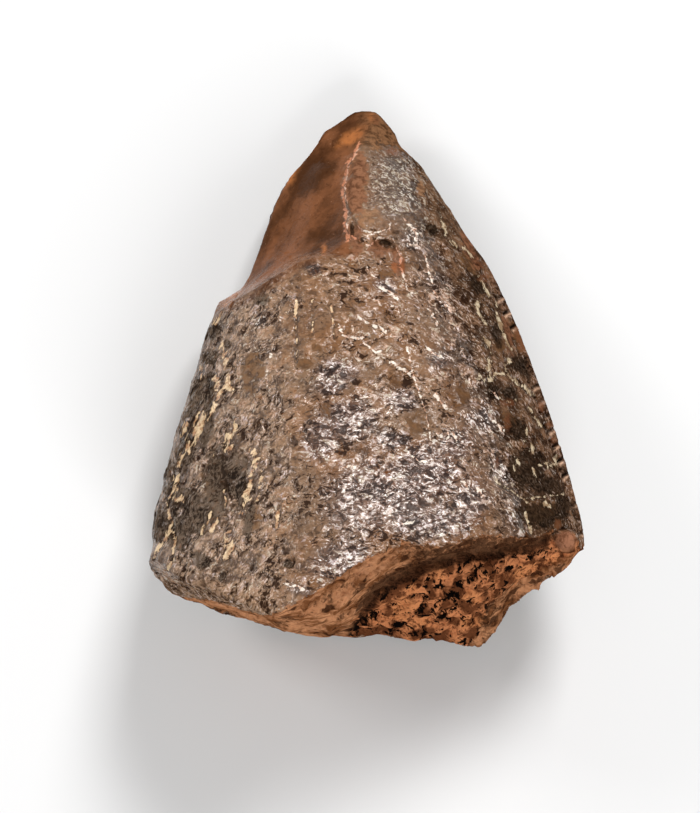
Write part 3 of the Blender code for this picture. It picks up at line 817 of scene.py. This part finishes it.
# Painted shade: how deep each point of the break lies in the creases between its lumps and folds.
crease_shade = broken * (1 - ramp(zone.creases(broken * ramp(furrow, 2, 8)), 0.03, 0.30)) * (1 - bead)
keep_marks(tooth, "parts", zone.scar, broken, bevel, keel)
keep_marks(tooth, "stains_and_sheen", black, white, smooth_skin, orange)
keep_marks(tooth, "minerals_and_shade", cream, pale, dull_and_shade, slit)
keep_marks(tooth, "trims", bead, lip, reddish, crease_shade)


# The fossil's finish.
# Enamel stained brown by iron, crusted with pale minerals and black manganese, with a worn gloss. Bare
# dentine is orange brown: smooth in the scar and under the enamel's rim, rough and spotted with black in
# the break. Glints, sheen and lit edges are painted into the colour, and so is shade in the creases, the
# furrow and the slits.


class Finish:
    """Builds a material's nodes, each from the values and the other nodes that it reads."""

    def __init__(self, name):
        self.material = bpy.data.materials.new(name)
        self.material.use_nodes = True
        self.nodes = self.material.node_tree.nodes
        self.links = self.material.node_tree.links
        self.shader = self.nodes["Principled BSDF"]
        place = self.new("ShaderNodeTexCoord").outputs["Object"]
        self.place = self.vector("MULTIPLY", place, (1 / MM, 1 / MM, 1 / MM))

    def new(self, kind, **settings):
        node = self.nodes.new(kind)
        for name, value in settings.items():
            setattr(node, name, value)
        return node

    def feed(self, socket, value):
        if isinstance(value, bpy.types.NodeSocket):
            self.links.new(value, socket)
        else:
            socket.default_value = value

    def vector(self, operation, *values):
        node = self.new("ShaderNodeVectorMath", operation=operation)
        for socket, value in zip(node.inputs, values):
            self.feed(socket, value)
        return node.outputs["Value" if operation == "DOT_PRODUCT" else "Vector"]

    def drawn_out(self, where, direction, times):
        """The place, such that a noise over it is drawn out along a direction."""
        direction = Vector(direction).normalized()
        reach = self.vector("SCALE", tuple(direction))
        shift = self.math("MULTIPLY", self.vector("DOT_PRODUCT", where, tuple(direction)), 1 - 1 / times)
        self.feed(reach.node.inputs["Scale"], shift)
        return self.vector("SUBTRACT", where, reach)

    def wandered(self, where, scale, by):
        """The place, pushed about by a noise."""
        node = self.new("ShaderNodeTexNoise")
        self.feed(node.inputs["Vector"], where)
        node.inputs["Scale"].default_value = scale
        node.inputs["Detail"].default_value = 2
        return self.vector("MULTIPLY_ADD", node.outputs["Color"], (by, by, by), where)

    def noise(self, where, scale, detail=2.0, roughness=0.5, distortion=0.0):
        node = self.new("ShaderNodeTexNoise")
        self.feed(node.inputs["Vector"], where)
        node.inputs["Scale"].default_value = scale
        node.inputs["Detail"].default_value = detail
        node.inputs["Roughness"].default_value = roughness
        node.inputs["Distortion"].default_value = distortion
        return node.outputs["Fac"]

    def span(self, value, low, high, to_low=0.0, to_high=1.0):
        """The value from low to high, smoothly made to_low to to_high."""
        node = self.new("ShaderNodeMapRange", interpolation_type="SMOOTHSTEP")
        for socket, part in zip(node.inputs, (value, low, high, to_low, to_high)):
            self.feed(socket, part)
        return node.outputs["Result"]

    def math(self, operation, one, two=0.0):
        node = self.new("ShaderNodeMath", operation=operation)
        self.feed(node.inputs[0], one)
        self.feed(node.inputs[1], two)
        return node.outputs["Value"]

    def times(self, *values):
        result = values[0]
        for value in values[1:]:
            result = self.math("MULTIPLY", result, value)
        return result

    def plus(self, *values):
        result = values[0]
        for value in values[1:]:
            result = self.math("ADD", result, value)
        return result

    def larger(self, one, two):
        return self.math("MAXIMUM", one, two)

    def less(self, value):
        """What is left of 1."""
        return self.math("SUBTRACT", 1.0, value)

    def about(self, value, by):
        """A noise's swing about its middle."""
        return self.math("MULTIPLY", self.math("SUBTRACT", value, 0.5), by)

    def vein(self, value, half):
        """1 along the lines where a noise has its middle value, 0 away from them."""
        return self.less(self.span(self.math("ABSOLUTE", self.math("SUBTRACT", value, 0.5)), 0.0, half))

    def blend(self, share, one, two):
        node = self.new("ShaderNodeMix", data_type="FLOAT")
        for socket, value in zip((node.inputs[0], node.inputs[2], node.inputs[3]), (share, one, two)):
            self.feed(socket, value)
        return node.outputs[0]

    def mix(self, share, under, over):
        node = self.new("ShaderNodeMix", data_type="RGBA")
        self.feed(node.inputs["Factor"], share)
        self.feed(node.inputs[6], under)
        self.feed(node.inputs[7], over)
        return node.outputs[2]

    def painted(self, name):
        """The four values of a kept mark."""
        node = self.new("ShaderNodeAttribute", attribute_name=name)
        parts = self.new("ShaderNodeSeparateColor")
        self.feed(parts.inputs[0], node.outputs["Color"])
        return parts.outputs[0], parts.outputs[1], parts.outputs[2], node.outputs["Alpha"]


STRAIGHT_UP_TO = 10 / 255  # the tone up to which its curve is a straight line


def tone(red, green, blue):
    """A colour from its usual 0 to 255 values."""
    parts = (red / 255, green / 255, blue / 255)
    curved = [((part + 0.055) / 1.055) ** 2.4 if part > STRAIGHT_UP_TO else part / 12.92 for part in parts]
    return curved + [1]


fossil = Finish("fossil_enamel_and_dentine")
scar_mark, broken_mark, bevel_mark, keel_mark = fossil.painted("parts")
black_mark, white_and_sheen_mark, smooth_mark, orange_mark = fossil.painted("stains_and_sheen")
cream_mark, pale_and_lit_mark, dull_and_shade_mark, slit_shade_mark = fossil.painted("minerals_and_shade")
bead_mark, lip_mark, reddish_mark, crease_shade_mark = fossil.painted("trims")

mix, blend, span, vein = fossil.mix, fossil.blend, fossil.span, fossil.vein
times, plus, less, larger, about = fossil.times, fossil.plus, fossil.less, fossil.larger, fossil.about
noise, drawn, place = fossil.noise, fossil.drawn_out, fossil.place


def shades(share, dark, light):
    """From the dark tone to the light one, by a share."""
    return mix(share, tone(*dark), tone(*light))


bent = fossil.wandered(place, 2.6, 0.35)
broad = noise(place, 0.45, 3, 0.55)
patchy = noise(bent, 1.5, 4, 0.6)
grain = noise(bent, 5.0, 4, 0.62)

# The enamel's grain: across the tooth below the middle, falling above it, lengthwise at the front, and
# aslant at the saw edge. Where the parts meet, they run into each other in patches.
across = drawn(bent, (1, 0.05, 0), 1.5)
falling = drawn(bent, (-0.9, 0.42, 0), 2.0)
lengthwise = drawn(bent, (0.34, 0.94, 0), 2.0)
aslant = drawn(bent, (-0.62, 0.78, 0), 1.7)
millimetres = fossil.new("ShaderNodeSeparateXYZ")
fossil.feed(millimetres.inputs[0], place)
to_saw, to_tip = millimetres.outputs["X"], millimetres.outputs["Y"]
at_front = span(plus(to_saw, about(patchy, 5.0)), -1.4, -3.4)
upper_part = span(plus(to_tip, about(patchy, 3.0)), -0.6, 1.6)
at_saw = span(plus(to_saw, times(to_tip, 0.3), about(patchy, 4.0)), 1.7, 3.1)
at_keel = span(plus(to_saw, times(to_tip, 0.3)), 3.1, 4.3)
at_tip = span(to_tip, 4.0, 4.8)
at_apex = span(plus(to_tip, about(patchy, 1.5)), 7.2, 8.2)


def skin_noise(*settings):
    low, high, front, saw = (noise(where, *settings) for where in (across, falling, lengthwise, aslant))
    return blend(at_saw, blend(at_front, blend(upper_part, low, high), front), saw)


FINE, FLAKES, CRINKLE, SEAMS = (15.0, 2, 0.6), (4.8, 3, 0.58, 0.7), (4.8, 2, 0.5, 0.5), (4.0, 2, 0.5, 0.9)
TIP_FLAKES = (8.5, 2, 0.6, 0.3)
fine = skin_noise(*FINE)
crinkle = skin_noise(*CRINKLE)
flakes = blend(at_tip, skin_noise(*FLAKES), noise(bent, *TIP_FLAKES))

# Where the skin is rugged: less on worn islands, in calm stretches, on the bare strip and at the apex.
worn_smooth = span(plus(times(smooth_mark, 0.9), about(patchy, 1.8), about(grain, 1.8)), 0.35, 0.85)
calm = span(noise(drawn(bent, (1, 0.4, 0), 1.5), 1.15, 4, 0.6), 0.53, 0.44)
reddish = span(plus(reddish_mark, about(patchy, 1.5), about(grain, 1.5)), 0.3, 0.9)
rugged = times(less(times(worn_smooth, 0.85)), less(times(calm, less(times(white_and_sheen_mark, 0.6)), 0.45)))
rugged = times(rugged, less(times(reddish, 0.85)), less(times(at_apex, 0.8)))

# Enamel: browns that are greyer in the bright field, as painted sheen where the highlight falls, paler at the
# front and dark at the saw edge.
lower_brown = shades(white_and_sheen_mark, (124, 86, 56), (96, 68, 54))
upper_brown = shades(white_and_sheen_mark, (126, 96, 72), (104, 80, 68))
light_brown = shades(white_and_sheen_mark, (152, 114, 84), (122, 94, 78))
front_brown = shades(span(plus(grain, about(patchy, 0.5)), 0.38, 0.62), (92, 72, 58), (164, 134, 108))
saw_brown = shades(span(patchy, 0.4, 0.6), (50, 36, 27), (108, 80, 60))
brown = mix(span(broad, 0.4, 0.6), lower_brown, upper_brown)
brown = mix(span(patchy, 0.5, 0.7), brown, light_brown)
brown = mix(times(at_tip, white_and_sheen_mark, 0.6), brown, tone(140, 112, 88))
brown = mix(times(at_front, 0.8), brown, front_brown)
brown = mix(times(at_saw, 0.85), brown, saw_brown)

# Its skin: dark where a level made of the noises is low and along seams, crusted with pale mineral where it
# is high, and with painted highlights: fine white glints on the crust, more of them in the bright field.
GAP_LEVELS, CRUST_LEVELS, PAINTED_GLINT_LEVELS = (0.457, 0.372), (0.575, 0.655), (0.62, 0.74)
fine_share = plus(0.4, times(at_front, 0.4), times(at_saw, 0.5))
flake_share = plus(0.8, times(at_front, 0.1))
level = plus(0.5, about(flakes, flake_share), about(patchy, 0.35))
level = plus(level, about(fine, fine_share), about(crinkle, 0.3))
seams = vein(skin_noise(*SEAMS), 0.02)
low = span(plus(level, times(white_and_sheen_mark, -0.018)), *GAP_LEVELS)
gap = times(larger(low, times(seams, 0.75)), rugged)
bright = plus(level, times(white_and_sheen_mark, 0.055), times(at_saw, 0.01))
crust = times(span(bright, *CRUST_LEVELS), rugged, less(times(at_keel, 0.7)))
painted_glint = times(span(plus(fine, about(level, 0.8)), *PAINTED_GLINT_LEVELS), plus(times(white_and_sheen_mark, 0.6), 0.2))
painted_glint = times(painted_glint, rugged, less(times(at_tip, 0.5)))
gap_brown = shades(white_and_sheen_mark, (38, 22, 14), (34, 20, 16))
hue = noise(place, 3.1, 2, 0.5)
crust_colour = shades(white_and_sheen_mark, (184, 142, 112), (200, 174, 160))
crust_colour = mix(larger(at_tip, times(span(hue, 0.52, 0.66), 0.8)), crust_colour, tone(188, 174, 148))
crust_colour = mix(times(span(hue, 0.46, 0.34), 0.7), crust_colour, tone(182, 162, 164))
enamel = mix(times(gap, less(times(at_tip, 0.35)), 0.92), brown, gap_brown)
enamel = mix(times(crust, less(times(at_tip, 0.2)), 0.7), enamel, crust_colour)
# Painted highlight: the glints, laid into the colour as near white.
enamel = mix(times(painted_glint, 0.9), enamel, tone(250, 244, 238))

# Worn islands, the brown apex and the reddish bare strip.
island_dark = shades(at_tip, (62, 40, 24), (104, 72, 50))
island_light = shades(at_tip, (108, 76, 48), (158, 118, 86))
enamel = mix(times(worn_smooth, 0.7), enamel, mix(span(grain, 0.35, 0.65), island_dark, island_light))
enamel = mix(times(at_apex, 0.85), enamel, shades(span(grain, 0.36, 0.62), (70, 46, 28), (124, 86, 58)))
enamel = mix(times(reddish, 0.78), enamel, shades(span(grain, 0.36, 0.6), (84, 50, 34), (134, 90, 66)))

# Black manganese, softer and greyer at the front.
stained = span(plus(times(black_mark, 1.2), about(patchy, 1.7), about(grain, 2.6)), 0.4, 0.95)
front_stain = shades(span(plus(fine, about(patchy, 1.2)), 0.4, 0.62), (36, 30, 26), (98, 84, 72))
stain = mix(at_front, shades(span(fine, 0.4, 0.6), (12, 8, 6), (48, 36, 26)), front_stain)
enamel = mix(times(stained, 0.85), enamel, stain)

# Cream mineral in the cracks, with a dark outline.
streaks = noise(drawn(bent, (0.25, 0.97, 0), 3.0), 4.5, 3, 0.6)
creamy = span(plus(cream_mark, about(streaks, 4.4), about(fine, 1.4)), 0.36, 0.7)
outline = times(span(plus(cream_mark, about(grain, 3.0)), -0.7, 0.1), less(creamy))
cream_share = span(plus(grain, about(streaks, 0.5), times(cream_mark, 0.1)), 0.45, 0.68)
saw_cream = shades(span(grain, 0.4, 0.6), (128, 112, 88), (196, 184, 160))
cream = mix(times(at_saw, 0.7), shades(cream_share, (170, 124, 88), (232, 202, 162)), saw_cream)
enamel = mix(times(outline, 0.5), enamel, tone(44, 30, 20))
enamel = mix(times(creamy, 0.9), enamel, cream)

# The saw edge's teeth and the pale lips of its slits, and rust.
tooth_brown = shades(span(plus(fine, about(patchy, 0.8)), 0.42, 0.62), (30, 20, 14), (112, 76, 56))
rust = span(plus(orange_mark, about(grain, 2.4), about(patchy, 1.2)), 0.2, 1.2)
enamel = mix(times(keel_mark, 0.4), enamel, tooth_brown)
enamel = mix(times(lip_mark, span(grain, 0.38, 0.55), 0.8), enamel, tone(222, 180, 150))
enamel = mix(times(rust, 0.6), enamel, shades(at_saw, (158, 92, 52), (112, 68, 44)))

# Dentine in the scar: warm brown, clouded, with fine dark pores and fine pale painted glints.
cloud = noise(drawn(bent, (0.3, 1, 0.2), 1.8), 0.8, 4, 0.6)
scar = shades(span(cloud, 0.34, 0.66), (70, 42, 24), (126, 80, 52))
scar = mix(times(orange_mark, span(grain, 0.3, 0.6, 0.45, 0.8)), scar, tone(184, 114, 64))
scar = mix(times(span(grain, 0.44, 0.34), 0.35), scar, tone(40, 18, 8))
# Painted highlight: fine pale glints.
scar = mix(times(span(fine, 0.66, 0.76), 0.3), scar, tone(214, 164, 130))

# Pale broken edges, on the enamel and along the scar, where they are reddish: the broken enamel's own pale
# colour, and painted highlight where the ledges' walls catch the light.
pale_and_lit_edge = span(plus(pale_and_lit_mark, about(grain, 3.2), about(fine, 1.6)), 0.35, 0.7)
pale = shades(span(grain, 0.42, 0.6), (206, 150, 118), (246, 234, 218))
pale = mix(larger(reddish_mark, span(scar_mark, 0.0, 0.3)), pale, tone(206, 138, 104))
skin = mix(scar_mark, enamel, scar)
skin = mix(times(pale_and_lit_edge, 0.85), skin, pale)

# Dentine in the break: orange lumps with painted shade in the creases between them, and black manganese.
LUMPS, SPECKS, FOLDS = (2.0, 3, 0.5), (3.6, 5, 0.64), (1.8, 5, 0.62)
grained = drawn(fossil.wandered(place, 1.3, 0.5), BREAK_DEPTH, 2.0)
lump = noise(grained, *LUMPS)
specks = noise(grained, *SPECKS)
folds = noise(drawn(bent, (0.85, 0.42, 0.3), 1.3), *FOLDS)
# Painted shade in the break's creases.
shaded_creases = span(plus(crease_shade_mark, times(orange_mark, -0.25), about(grain, 2.0), about(fine, 1.0)), 0.55, 0.95)
fresh = span(plus(orange_mark, about(grain, 3.0), about(lump, 3.0)), 0.4, 1.0)
speckled = plus(specks, times(black_mark, 0.08), times(orange_mark, -0.03), times(crease_shade_mark, 0.03))
rough = shades(span(lump, 0.43, 0.58), (106, 62, 38), (202, 130, 86))
rough = mix(times(fresh, 0.75), rough, tone(214, 140, 90))
rough = mix(times(span(grain, 0.48, 0.36), 0.75), rough, tone(48, 20, 10))
rough = mix(times(shaded_creases, 0.85), rough, tone(30, 14, 8))
rough = mix(span(speckled, 0.56, 0.59), rough, tone(14, 9, 7))

# Its smooth rim, with painted shade in its folds and painted light on their crests, and painted shade in
# the furrow under the enamel's rim.
rim = shades(span(patchy, 0.38, 0.62), (120, 74, 44), (196, 138, 98))
# Painted shade in the low parts of the folds that the bump raises, and painted light on their crests.
rim = mix(times(span(folds, 0.48, 0.38), 0.8), rim, tone(48, 26, 16))
rim = mix(times(span(folds, 0.54, 0.66), 0.5), rim, tone(204, 148, 110))
rim = mix(times(shaded_creases, 0.6), rim, tone(46, 24, 14))
# Painted shade: in the furrow under the enamel's rim and on its wall.
painted_shade = span(plus(dull_and_shade_mark, about(folds, 1.6), about(grain, 1.4)), 0.35, 0.8)
foot = mix(bevel_mark, rough, rim)
foot = mix(times(painted_shade, 0.85), foot, shades(span(fine, 0.4, 0.6), (22, 11, 6), (66, 40, 26)))
foot = mix(bead_mark, foot, shades(span(grain, 0.35, 0.6), (104, 66, 46), (152, 104, 78)))
colour = mix(broken_mark, skin, foot)
# Painted shade: the slits of the saw edge are painted almost black, for the shade in their depth.
colour = mix(times(slit_shade_mark, 0.95), colour, tone(10, 7, 5))
fossil.feed(fossil.shader.inputs["Base Color"], colour)

# Gloss: a worn polish on the enamel and the scar, duller in the break.
ENAMEL_IOR = 1.55
ENAMEL_SHEEN, DENTINE_SHEEN = (1.0, 0.95, 0.92, 1), (1.0, 0.76, 0.56, 1)
gloss = plus(span(noise(place, 2.2, 3, 0.6), 0.35, 0.65, 0.16, 0.28), times(gap, 0.2))
gloss = plus(gloss, times(broken_mark, less(bevel_mark), 0.25))
dentine = larger(scar_mark, broken_mark)
shine = plus(0.38, times(white_and_sheen_mark, 0.14), times(crust, less(dentine), 0.25))
shine = plus(shine, times(at_keel, -0.7), times(at_apex, -0.4), times(stained, -0.4))
shine = plus(shine, times(dull_and_shade_mark, less(broken_mark), -0.4), times(reddish, -0.3))
shine = plus(shine, times(worn_smooth, -0.25), times(gap, less(dentine), -0.35))
shine = plus(shine, times(scar_mark, -0.34), times(broken_mark, -0.6), times(slit_shade_mark, -0.4))
fossil.feed(fossil.shader.inputs["Roughness"], gloss)
fossil.feed(fossil.shader.inputs["Specular IOR Level"], larger(shine, 0.0))
fossil.feed(fossil.shader.inputs["Specular Tint"], mix(dentine, ENAMEL_SHEEN, DENTINE_SHEEN))
fossil.shader.inputs["IOR"].default_value = ENAMEL_IOR

# Fine relief: crust, gaps and grain on the enamel, folds and specks in the break.
RELIEF_DEPTH = 0.1 * MM
skin_height = times(plus(about(crinkle, 0.85), about(flakes, 0.3), about(fine, 0.1)), rugged)
skin_height = times(skin_height, plus(1.0, times(at_front, 0.8)))
break_height = times(plus(about(folds, 2.0), about(specks, -1.5)), broken_mark, less(bead_mark))
height = plus(skin_height, times(creamy, 0.05), times(pale_and_lit_edge, 0.08), about(patchy, 0.6), break_height)
height = times(height, less(times(scar_mark, 0.7)))
bump = fossil.new("ShaderNodeBump")
fossil.feed(bump.inputs["Height"], height)
bump.inputs["Distance"].default_value = RELIEF_DEPTH
bump.inputs["Strength"].default_value = 1.0
fossil.feed(fossil.shader.inputs["Normal"], bump.outputs["Normal"])
tooth.data.materials.append(fossil.material)


# The floor and the light.
# A plain pale sheet, a white sky, a key light beyond the tip and weaker ones at the left and the foot.

FLOOR_SIZE, FLOOR_GREY, FLOOR_ROUGHNESS = 1.2, 0.76, 0.9
SKY_STRENGTH = 0.30
LIT_POINT = Vector((0, 0, 3 * MM))
LIGHTS = (  # the name, the place and the width in millimetres, and the power
    ("key", (50, 122, 160), 70, 0.35),
    ("left", (-160, 70, 115), 60, 0.12),
    ("foot", (50, -170, 130), 110, 0.26),
)

bpy.ops.object.select_all(action="DESELECT")
bpy.ops.mesh.primitive_plane_add(size=FLOOR_SIZE, location=(0, 0, 0))
floor = bpy.context.active_object
floor.name = "floor"
paper = bpy.data.materials.new("pale_sheet")
paper.use_nodes = True
sheet = paper.node_tree.nodes["Principled BSDF"]
sheet.inputs["Base Color"].default_value = (FLOOR_GREY, FLOOR_GREY, FLOOR_GREY, 1)
sheet.inputs["Roughness"].default_value = FLOOR_ROUGHNESS
floor.data.materials.append(paper)

world = bpy.data.worlds.new("studio")
bpy.context.scene.world = world
world.use_nodes = True
sky = world.node_tree.nodes["Background"]
sky.inputs["Color"].default_value = (1, 1, 1, 1)
sky.inputs["Strength"].default_value = SKY_STRENGTH

for name, place, size, power in LIGHTS:
    lamp = bpy.data.lights.new(name, "AREA")
    lamp.shape = "SQUARE"
    lamp.size = size * MM
    lamp.energy = power
    light = bpy.data.objects.new(name, lamp)
    light.location = Vector(place) * MM
    light.rotation_euler = (LIT_POINT - light.location).to_track_quat("-Z", "Y").to_euler()
    bpy.context.scene.collection.objects.link(light)

bpy.context.scene.view_settings.view_transform = "Standard"
